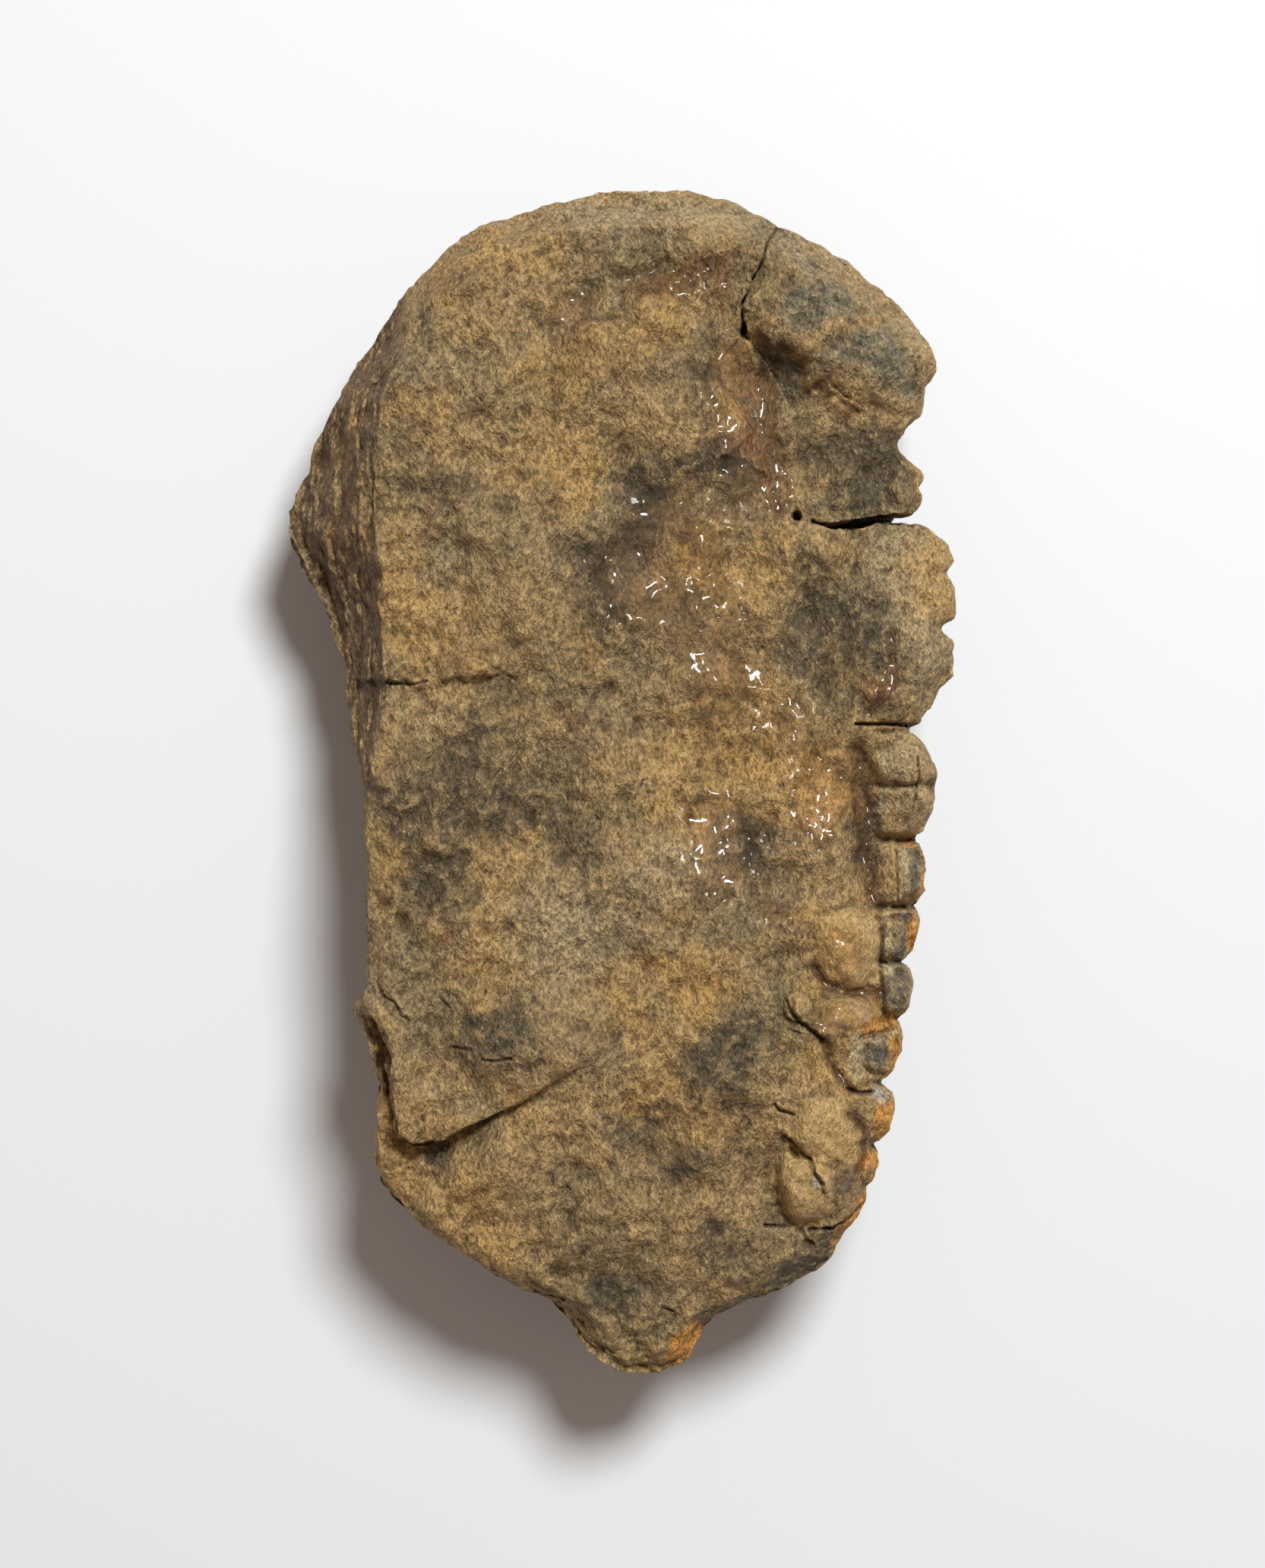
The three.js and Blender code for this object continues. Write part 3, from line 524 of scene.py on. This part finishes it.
def sculpt_belly(p, n, wander):
    """Height to add on the belly side."""
    x, y = p[:, 0], p[:, 1]
    calm = np.ones(len(p))
    for px, py, half_x, half_y, turn, _, _ in PADS[SMOOTH_PADS]:
        inward = pad_edge(p, px, py, half_x, half_y, turn)
        calm = np.minimum(calm, 1 - PAD_CALM * smooth(-0.2, 0.6, inward))
    calm = np.minimum(calm, 1 - GLUE_CALM * smooth(0.5, 1.2, hills(p, GLUE_SPOTS)))
    added = layer_of(p, SWELLS) + layer_of(p, LUMPS)
    grit = layer_of(p, GRIT) * (0.5 + smooth(-0.3, 0.4, layer_of(p, GRIT_PATCHES)))
    grit += flaked(p, *FLAKES)
    for height, size in CRUMBS:
        grit += height * crumbs(p, size)
    added += calm * grit
    flank = smooth(0.8, 0.55, n[:, 2]) * smooth(-20.5, -22, x) * smooth(-3, 3, y)
    added += flank * layer_of(p * STREAK_STRETCH, FLANK_STREAKS)
    for px, py, half_x, half_y, turn, height, soft in PADS:
        inward = pad_edge(p, px, py, half_x, half_y, turn) + 0.35 * wander
        added += height * smooth(-0.1, soft, inward) - 0.25 * np.exp(-((inward / 0.35) ** 2))
    for line, width, deep in GROOVES:
        distance, _ = from_line(p, line)
        added -= deep * np.exp(-((distance / width) ** 2))
    for line, width, deep in CRACKS:
        distance, _ = from_line(p, line)
        reach = width * (0.4 + 0.9 * np.clip(wander + 0.5, 0, 1))
        added -= deep * smooth(reach, reach * 0.2, distance + 0.12 * wander)
    for line, step, half_width, fade in STEPS:
        distance, side = from_line(p, line)
        ragged = min(0.25 + 0.4 * half_width, 0.9) * wander
        rise = smooth(-half_width, half_width, side * distance + ragged) - 0.5
        added += step * rise * smooth(fade, fade * 0.2, distance) * smooth(2.0, 0.0, past_ends(p, line))
    for cx, cy, reach_x, reach_y, _ in GLUE_SPOTS:
        across, along = p[:, 0] - cx, p[:, 1] - cy
        near = np.exp(-((across / reach_x) ** 2) - (along / reach_y) ** 2)
        added -= near * (GLUE_FALL[0] * across + GLUE_FALL[1] * along)
    strip = smooth(22.6, 24.2, x) * smooth(6, 4, y)
    for start in SEGMENT_STARTS[4:]:
        added -= RIB_SEAM_DEPTH * strip * smooth(0.5, 0.1, np.abs(y - start + 0.3 * wander))
    return added


def sculpt_back(p):
    """Distance to raise the back along its normal."""
    x, y = p[:, 0], p[:, 1]
    out = np.abs(x - np.interp(y, *MIDLINE))
    axis = np.interp(y, *AXIS_HALF_WIDTH)
    thorax = smooth(24.6, 23.6, y) * smooth(-42, -41, y)
    starts = np.array(SEGMENT_STARTS)
    place = np.clip(np.searchsorted(-starts, -y) - 1, 0, len(starts) - 2)
    phase = (starts[place] - y) / (starts[place] - starts[place + 1])
    pleura = smooth(axis + 0.4, axis + 2.2, out)
    slant = 0.34 + 0.26 * smooth(axis, axis + 12, out)
    added = -RIB_FURROW_DEPTH * thorax * pleura * smooth(0.16, 0.04, np.abs(phase - slant))
    ring_groove = smooth(0.07, 0.0, np.minimum(phase, 1 - phase))
    added -= RING_FURROW_DEPTH * thorax * ring_groove
    added -= AXIAL_FURROW_DEPTH * thorax * smooth(0.8, 0.2, np.abs(out - axis - 0.3))
    head = smooth(26.5, 28.5, y)
    granules = np.array([noise.voronoi(Vector(q) / GRANULE_SIZE)[0][0] for q in p])
    added += GRANULE_HEIGHT * (0.45 * head + 0.3) * smooth(0.5, 0.1, granules)
    added += layer_of(p, BACK_WEAR) + layer_of(p, BACK_SWELLS)
    return added


def sculpt(piece):
    """Every ridge, crack, flake and grain, as moves of the skin's points."""
    p, n = points_of(piece), normals_of(piece)
    wander = layer_of(p, WANDER)
    belly = smooth(-0.15, 0.25, n[:, 2])
    lifted = smooth(0.3, 1.6, p[:, 2])
    p[:, 2] += belly * sculpt_belly(p, n, wander)
    p += ((1 - belly) * lifted * sculpt_back(p))[:, None] * n
    p += (lifted * layer_of(p, FINE_GRAIN))[:, None] * n
    near_rim = smooth(0.74, 0.84, np.hypot(p[:, 0] / 29, p[:, 1] / 54))
    rim = smooth(0.8, 0.4, np.abs(n[:, 2])) * near_rim
    out = layer_of(p, RAGGED_RIM)
    for x, y, reach, deep in DENTS:
        out -= deep * np.exp(-((p[:, 0] - x) ** 2 + (p[:, 1] - y) ** 2) / reach ** 2)
    p[:, :2] += (rim * lifted * out)[:, None] * n[:, :2]
    p[:, 2] = np.maximum(p[:, 2], 0)
    above = np.maximum(p[:, 2] - PEAK_LEVEL, 0)
    p[:, 2] -= above - PEAK_ROOM * np.tanh(above / PEAK_ROOM)
    place_points(piece, p)


def hollows(piece, rounds):
    """How far each point lies below its surroundings along its normal, in millimetres."""
    p, n = points_of(piece), normals_of(piece)
    pairs = np.empty(len(piece.data.edges) * 2, np.int32)
    piece.data.edges.foreach_get("vertices", pairs)
    a, b = pairs.reshape(-1, 2).T
    links = np.bincount(a, minlength=len(p)) + np.bincount(b, minlength=len(p))
    around = p.copy()
    for _ in range(rounds):
        total = np.zeros_like(around)
        for axis in range(3):
            total[:, axis] = np.bincount(a, around[b, axis], len(p))
            total[:, axis] += np.bincount(b, around[a, axis], len(p))
        around = total / links[:, None]
    return ((around - p) * n).sum(axis=1)


def pad_mask(p, shapes, wander, soft=0.25):
    """1 inside any of these pads, with a frayed edge."""
    inside = np.zeros(len(p))
    for shape in shapes:
        inside = np.maximum(inside, smooth(-soft, soft, pad_edge(p, *shape) + 0.4 * wander))
    return inside


def paint(piece):
    """Named masks on the skin, which the stone's material reads."""
    p, n = points_of(piece), normals_of(piece)
    moved = p + STAIN_WANDER * np.stack([rough(p, 5, 3, s) for s in (40.0, 50.0, 60.0)], axis=1)
    wander = layer_of(p, WANDER)
    belly = smooth(0.0, 0.35, n[:, 2])
    x, y = p[:, 0], p[:, 1]
    # Where the cracks lie, for the painted shade along them.
    cracks = np.zeros(len(p))
    for line, width, _ in CRACKS:
        cracks = np.maximum(cracks, smooth(width * 0.9, width * 0.1, from_line(p, line)[0] + 0.2 * wander))
    seams = np.zeros(len(p))
    for line, width, _ in GROOVES:
        seams = np.maximum(seams, np.exp(-((from_line(p, line)[0] / width) ** 2)))
    masks = {
        "seam": belly * seams,
        "pale_strip": belly * pad_mask(p, PALE_STRIPS, wander, 0.15),
        # Dark stains, partly painted shade on walls, slopes and dips.
        "stain_and_shade": belly * hills(moved, DARK_STAINS_AND_SHADE),
        "blue_stain": belly * hills(moved, BLUE_STAINS),
        # Pale patches, partly painted light on broad rises.
        "pale": belly * hills(moved, PALE_PATCHES_AND_LIGHT),
        "smooth_pad": belly * pad_mask(p, [pad[:5] for pad in PADS[SMOOTH_PADS]], wander, 0.5),
        "yellow": belly * hills(moved, YELLOW_PATCHES),
        "rust": belly * hills(moved, RUST_PATCHES),
        "glue": smooth(0.3, 0.6, n[:, 2]) * hills(moved, GLUE_SPOTS),
        "rind": smooth(-0.8, -0.4, n[:, 2]) * pad_mask(p, RINDS, wander),
        "core": belly * pad_mask(p, CORES, wander),
        "white": belly * pad_mask(p, WHITE_GLUE, wander),
        "crack": belly * cracks,
        "shell": 1 - smooth(-0.35, 0.15, n[:, 2]),
        # Steep faces of the left flank: its own dark colour and painted shade.
        "flank": smooth(0.88, 0.66, n[:, 2]) * smooth(-19, -22, x) * smooth(-4, 2, y),
        "tail_band": smooth(0.9, 0.6, n[:, 2]) * smooth(-40, -43, y) * smooth(3, 6, x),
        # Depth of the hollows, which the material paints with shade and dirt, and with a highlight on the
        # crests.
        "hollow": hollows(piece, PIT_ROUNDS) * PIT_GAIN,
        "furrow": hollows(piece, FURROW_ROUNDS) * FURROW_GAIN,
    }
    for name, values in masks.items():
        layer = piece.data.attributes.new(name, "FLOAT", "POINT")
        layer.data.foreach_set("value", values.astype(np.float32))


def srgb(red, green, blue):
    """A colour as seen on a screen, from 0 to 255, as the linear colour that shaders use."""
    shares = [c / 255 for c in (red, green, blue)]
    return tuple(c / 12.92 if c <= 0.04045 else ((c + 0.055) / 1.055) ** 2.4 for c in shares) + (1.0,)


class Bench:
    """Adds nodes to one tree and wires them."""

    def __init__(self, tree):
        self.tree = tree

    def add(self, kind, inputs=(), **settings):
        node = self.tree.nodes.new(kind)
        for key, value in settings.items():
            setattr(node, key, value)
        for socket, value in dict(inputs).items():
            self.wire(value, node.inputs[socket])
        return node

    def wire(self, value, socket):
        if isinstance(value, bpy.types.NodeSocket):
            self.tree.links.new(value, socket)
        else:
            socket.default_value = value

    def math(self, operation, first, second):
        return self.add("ShaderNodeMath", {0: first, 1: second}, operation=operation).outputs[0]

    def ramp(self, value, low, high, to_low=0.0, to_high=1.0):
        inputs = {"Value": value, "From Min": low, "From Max": high, "To Min": to_low, "To Max": to_high}
        return self.add("ShaderNodeMapRange", inputs, interpolation_type="SMOOTHSTEP").outputs[0]

    def mix(self, factor, first, second, blend="MIX"):
        """The second colour over the first, at this strength."""
        node = self.add("ShaderNodeMix", data_type="RGBA", blend_type=blend)
        for value, socket in ((factor, node.inputs[0]), (first, node.inputs[6]), (second, node.inputs[7])):
            self.wire(value, socket)
        return node.outputs[2]

    def noise(self, place, size, detail, roughness):
        inputs = {"Vector": place, "Scale": 1 / (size * MM), "Detail": detail, "Roughness": roughness}
        return self.add("ShaderNodeTexNoise", inputs).outputs["Fac"]

    def mask(self, name):
        return self.add("ShaderNodeAttribute", attribute_name=name).outputs["Fac"]

    def place(self, group, inputs):
        node = self.add("ShaderNodeGroup", node_tree=group)
        for socket, value in inputs.items():
            self.wire(value, node.inputs[socket])
        return node.outputs


def new_group(name, inputs, outputs):
    """An empty node group with these sockets, its bench, and its input and output nodes."""
    group = bpy.data.node_groups.new(name, "ShaderNodeTree")
    for socket, kind in inputs:
        group.interface.new_socket(name=socket, in_out="INPUT", socket_type=kind)
    for socket, kind in outputs:
        group.interface.new_socket(name=socket, in_out="OUTPUT", socket_type=kind)
    bench = Bench(group)
    return group, bench, bench.add("NodeGroupInput").outputs, bench.add("NodeGroupOutput").inputs


def silt_grain():
    """Fine grit: its height, its light and dark grains, dark pits and bright grains."""
    group, bench, given, out = new_group(
        "Silt grain",
        [("Place", "NodeSocketVector")],
        [("Height", "NodeSocketFloat"), ("Tone", "NodeSocketFloat"), ("Pits", "NodeSocketFloat"),
         ("Bright", "NodeSocketFloat")],
    )
    slant = {"Vector": given["Place"], "Rotation": (0.3, 0.2, math.radians(38)), "Scale": (1, 0.62, 0.8)}
    place = bench.add("ShaderNodeMapping", slant).outputs[0]
    coarse = bench.noise(place, 0.9, 5.0, 0.8)
    fine = bench.noise(place, 0.34, 3.0, 0.75)
    grit = {"Vector": place, "Scale": 1 / (0.42 * MM), "Detail": 1.0, "Roughness": 0.6}
    grains = bench.add("ShaderNodeTexVoronoi", grit).outputs
    both = bench.math("ADD", bench.math("MULTIPLY", coarse, 0.45), bench.math("MULTIPLY", fine, 0.45))
    low = bench.math("MULTIPLY", grains["Distance"], -0.14)
    bench.wire(bench.math("ADD", both, low), out["Height"])
    own = bench.math("MULTIPLY", bench.math("SUBTRACT", grains["Color"], 0.5), 0.5)
    bench.wire(bench.math("ADD", bench.ramp(fine, 0.36, 0.64), own), out["Tone"])
    crowded = bench.ramp(bench.noise(given["Place"], 5.0, 4.0, 0.6), 0.38, 0.62, 0.3, 1.0)
    pits = bench.ramp(bench.noise(place, 0.5, 3.0, 0.8), 0.6, 0.67)
    bright = bench.ramp(bench.noise(place, 0.36, 3.0, 0.75), 0.6, 0.67)
    bench.wire(bench.math("MULTIPLY", pits, crowded), out["Pits"])
    bench.wire(bench.math("MULTIPLY", bright, bench.math("SUBTRACT", 1.3, crowded)), out["Bright"])
    return group


def weathering():
    """Blotches of ochre clay, grey-green silt and brown iron over the stone."""
    group, bench, given, out = new_group(
        "Weathering",
        [("Place", "NodeSocketVector")],
        [("Ochre", "NodeSocketFloat"), ("Grey", "NodeSocketFloat"), ("Brown", "NodeSocketFloat"),
         ("Olive", "NodeSocketFloat")],
    )
    place = given["Place"]
    moved = bench.add("ShaderNodeMapping", {"Vector": place, "Location": (0.05, 0.02, 0.01)}).outputs[0]
    bench.wire(bench.ramp(bench.noise(place, 9.0, 7.0, 0.58), 0.47, 0.62), out["Ochre"])
    bench.wire(bench.ramp(bench.noise(moved, 14.0, 8.0, 0.58), 0.45, 0.6), out["Grey"])
    bench.wire(bench.ramp(bench.noise(moved, 7.0, 7.0, 0.62), 0.5, 0.66), out["Brown"])
    bench.wire(bench.ramp(bench.noise(place, 11.0, 8.0, 0.6), 0.48, 0.62), out["Olive"])
    return group


def broken_edge(bench, mask, fuzz, low, high):
    """A painted mask with an edge that follows the grain instead of a smooth line."""
    frayed = bench.math("MULTIPLY", bench.math("SUBTRACT", fuzz, 0.5), 1.3)
    return bench.ramp(bench.math("ADD", mask, frayed), low, high)


def fossil_stone():
    """Gritty siltstone, its stains, rinds and grey cores, and the old glue over parts of it, with painted
    shade in its hollows and cracks and painted highlights on its crests.
    """
    material = bpy.data.materials.new("Gritty ochre siltstone")
    material.use_nodes = True
    material.node_tree.nodes.clear()
    bench = Bench(material.node_tree)
    place = bench.add("ShaderNodeTexCoord").outputs["Object"]
    grain = bench.place(silt_grain(), {"Place": place})
    weather = bench.place(weathering(), {"Place": place})
    fuzz = bench.noise(place, 2.0, 9.0, 0.76)

    def layer(under, mask, share, over):
        return bench.mix(bench.math("MULTIPLY", mask, share), under, over)

    def patch(under, name, share, over):
        return layer(under, broken_edge(bench, bench.mask(name), fuzz, 0.1, 0.8), share, over)

    colour = srgb(*STONE_COLOUR)
    for name, share, tint in WEATHERED:
        colour = layer(colour, weather[name], share, srgb(*tint))
    for name, share, tint in FRAYED:
        colour = patch(colour, name, share, srgb(*tint))
    for name, share, tint in PAINTED:
        colour = layer(colour, bench.mask(name), share, srgb(*tint))

    # The shell of the back, with clay left in its furrows
    shell = broken_edge(bench, bench.mask("shell"), fuzz, 0.3, 0.7)
    furrows = bench.math("ADD", bench.mask("furrow"), bench.math("SUBTRACT", fuzz, 0.5))
    clay = bench.ramp(furrows, -0.1, 0.35)
    shell_colour = bench.mix(clay, srgb(*SHELL_COLOUR), srgb(*CLAY_COLOUR))
    colour = layer(colour, shell, 0.85, shell_colour)

    # Grains, pits, painted shade and dirt in the hollows, painted highlights on the crests, and painted
    # shade in the cracks
    gritty = bench.ramp(bench.mask("smooth_pad"), 0.0, 1.0, 1.0, 0.7)
    pits = bench.math("MULTIPLY", grain["Pits"], gritty)
    colour = layer(colour, pits, 0.7, srgb(*PIT_COLOUR))
    bright = bench.math("MULTIPLY", grain["Bright"], gritty)
    colour = layer(colour, bright, 0.55, srgb(*BRIGHT_GRAIN_COLOUR))
    hollow = bench.mask("hollow")
    # Painted shade, with some dirt, in the hollows, and a painted highlight on the crests.
    colour = layer(colour, bench.ramp(hollow, 0.1, 0.9), 0.45, srgb(*HOLLOW_SHADE_AND_DIRT_COLOUR))
    colour = layer(colour, bench.ramp(hollow, -0.1, -0.9), 0.3, srgb(*CREST_HIGHLIGHT_COLOUR))
    # Painted shade in the cracks.
    colour = layer(colour, bench.mask("crack"), 0.55, srgb(*CRACK_SHADE_COLOUR))
    colour = layer(colour, bench.mask("white"), 0.8, srgb(*WHITE_GLUE_COLOUR))

    # Old glue, which wets the stone and fills its pores
    sticky = bench.math("ADD", bench.mask("glue"), bench.math("MULTIPLY", bench.mask("seam"), 0.6))
    glue = broken_edge(bench, sticky, fuzz, 0.25, 1.1)
    wet = bench.mix(bench.math("MULTIPLY", glue, 0.5), colour, srgb(*WET_TINT), "MULTIPLY")
    spread = bench.math("MULTIPLY", bench.math("SUBTRACT", grain["Tone"], 0.5), gritty)
    tone = bench.math("ADD", bench.math("MULTIPLY", spread, GRAIN_CONTRAST), STONE_TONE)
    final = bench.add("ShaderNodeHueSaturation", {"Color": wet, "Value": tone}).outputs[0]
    levelled = bench.ramp(glue, 0.3, 1.0, 1.0, 0.45)
    height = bench.math("MULTIPLY", bench.math("MULTIPLY", grain["Height"], gritty), levelled)
    depth = {"Height": height, "Strength": 1.0, "Distance": GRAIN_DEPTH * MM}
    bump = bench.add("ShaderNodeBump", depth)
    stone = bench.add("ShaderNodeBsdfPrincipled", {
        "Base Color": final,
        "Roughness": bench.ramp(glue, 0.0, 0.9, 0.85, 0.4),
        "Specular IOR Level": 0.5,
        "Coat Weight": glue,
        "Coat Roughness": 0.09,
        "Normal": bump.outputs[0],
    })
    end = bench.add("ShaderNodeOutputMaterial")
    material.node_tree.links.new(stone.outputs[0], end.inputs[0])
    return material


def fossil():
    """The finished specimen, in place of its plain solid."""
    piece = fossil_block()
    sculpt(piece)
    thin_out(piece, False, BACK_TRIANGLES)
    thin_out(piece, True, BELLY_TRIANGLES)
    paint(piece)
    select_only(piece)
    bpy.ops.object.shade_smooth()
    piece.data.materials.append(fossil_stone())
    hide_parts(NODE)
    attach(piece, "root")


def floor():
    """A plain pale table top."""
    bpy.ops.mesh.primitive_plane_add(size=TABLE_WIDTH)
    top = bpy.context.object
    top.name = "table_top"
    material = bpy.data.materials.new("Pale table")
    material.use_nodes = True
    surface = material.node_tree.nodes["Principled BSDF"]
    surface.inputs["Base Color"].default_value = srgb(*TABLE_COLOUR)
    surface.inputs["Roughness"].default_value = 0.7
    top.data.materials.append(material)


def lamp(name, place, aim, size, power, colour):
    light = bpy.data.lights.new(name, "AREA")
    light.shape = "DISK"
    light.size = size
    light.energy = power
    light.color = colour
    holder = bpy.data.objects.new(name, light)
    holder.location = place
    holder.rotation_euler = (Vector(aim) - Vector(place)).to_track_quat("-Z", "Y").to_euler()
    bpy.context.scene.collection.objects.link(holder)


def studio():
    """Soft light from the upper right, the room's weak warm glow, and the camera straight above."""
    lamp("Key", KEY_PLACE, (0, 0, 0), KEY_SIZE, KEY_POWER, KEY_COLOUR)
    world = bpy.data.worlds.new("Pale room")
    world.use_nodes = True
    glow = world.node_tree.nodes["Background"]
    glow.inputs["Color"].default_value = ROOM_COLOUR
    glow.inputs["Strength"].default_value = ROOM_STRENGTH
    bpy.context.scene.world = world

    camera = bpy.data.cameras.new("Above")
    camera.sensor_fit = "VERTICAL"
    camera.sensor_height = SENSOR_HEIGHT
    camera.lens = camera.sensor_height * CAMERA_DISTANCE / PICTURE_HEIGHT
    camera.clip_start = 0.01
    holder = bpy.data.objects.new("Above", camera)
    x, y = PICTURE_CENTRE
    holder.location = (x * MM, y * MM, (CAMERA_DISTANCE + RIM_LEVEL) * MM)
    bpy.context.scene.collection.objects.link(holder)
    bpy.context.scene.camera = holder
    bpy.context.scene.view_settings.view_transform = "Standard"


floor()
studio()
fossil()
